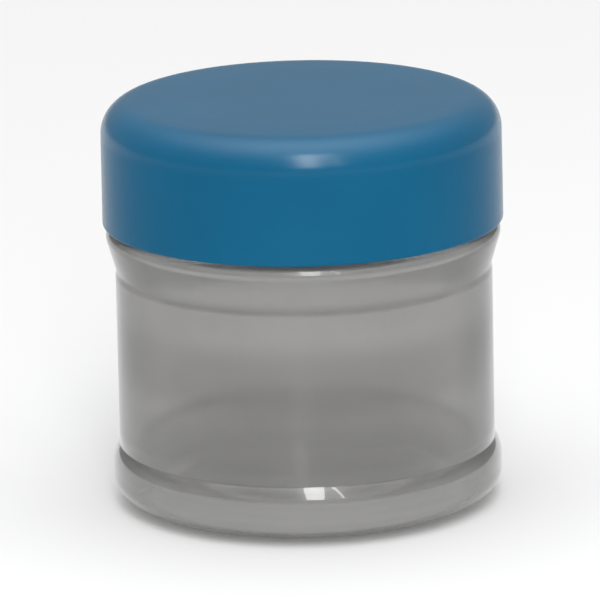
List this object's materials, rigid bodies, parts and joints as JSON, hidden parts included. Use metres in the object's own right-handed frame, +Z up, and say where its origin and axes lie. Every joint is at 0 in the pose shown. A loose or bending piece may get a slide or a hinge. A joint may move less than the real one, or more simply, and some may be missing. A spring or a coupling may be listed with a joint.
{
  "type": "slide staining jar",
  "caption": "Round straight-sided glass jar with a wide blue screw cap and loose liner, holds microscope slides upright in stain or fixative.",
  "frame": {"origin": "on the table, at the middle of the jar's base, on the axis that jar, liner and cap share", "axes": "+Z up along the jar's axis, towards the cap; the jar is round, so +X and +Y only fix where the threads start"},
  "size_m": [0.0894, 0.0894, 0.0917],
  "materials": {
    "glass": "clear pressed soda-lime glass, faintly grey",
    "foam_liner": "white expanded polyethylene sheet",
    "blue_polypropylene": "moulded blue polypropylene, smooth semi-gloss"
  },
  "bodies": {
    "jar": {"jar": "glass"},
    "liner": {"liner": "foam_liner"},
    "cap": {"screw_cap": "blue_polypropylene"}
  },
  "joints": [
    {"name": "cap_lift", "type": "slide", "parent": "jar", "child": "liner", "axis": [0, 0, 1], "range_m": [0, 0.03]},
    {"name": "cap_turn", "type": "hinge", "parent": "liner", "child": "cap", "pos_m": [0, 0, 0.0891], "axis": [0, 0, 1], "range_deg": [0, 1800]}
  ],
  "couplings": [
    {"joint": "cap_lift", "follows": "cap_turn", "m_per_rad": 0.00095493}
  ]
}
